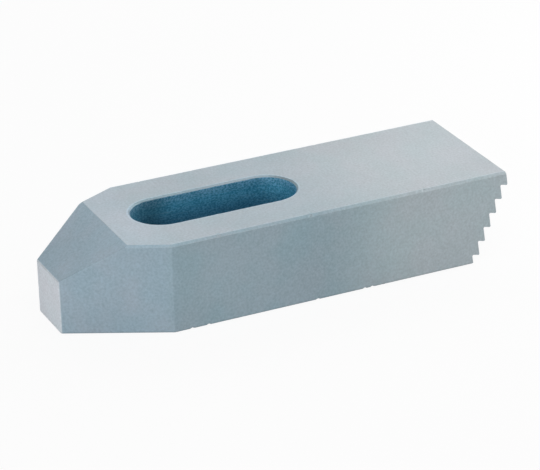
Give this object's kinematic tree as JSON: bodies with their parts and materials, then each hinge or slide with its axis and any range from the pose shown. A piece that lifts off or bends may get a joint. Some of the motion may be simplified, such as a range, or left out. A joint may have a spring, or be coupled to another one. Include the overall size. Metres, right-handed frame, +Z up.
{
  "type": "step clamp",
  "caption": "Flat steel clamping bar with a tapered, sloped nose, a long through slot for a clamping stud and a serrated heel of small steps that hooks onto a step block.",
  "frame": {"origin": "centre of the bar's bounding box, at the base, on the surface that the bar stands on", "axes": "+Y along the bar from the nose to the stepped heel, +X across it, +Z up through the slot"},
  "size_m": [0.054, 0.1599, 0.032],
  "materials": {
    "bar_steel": "satin"
  },
  "bodies": {
    "root": {"clamp_bar": "bar_steel"}
  },
  "joints": []
}
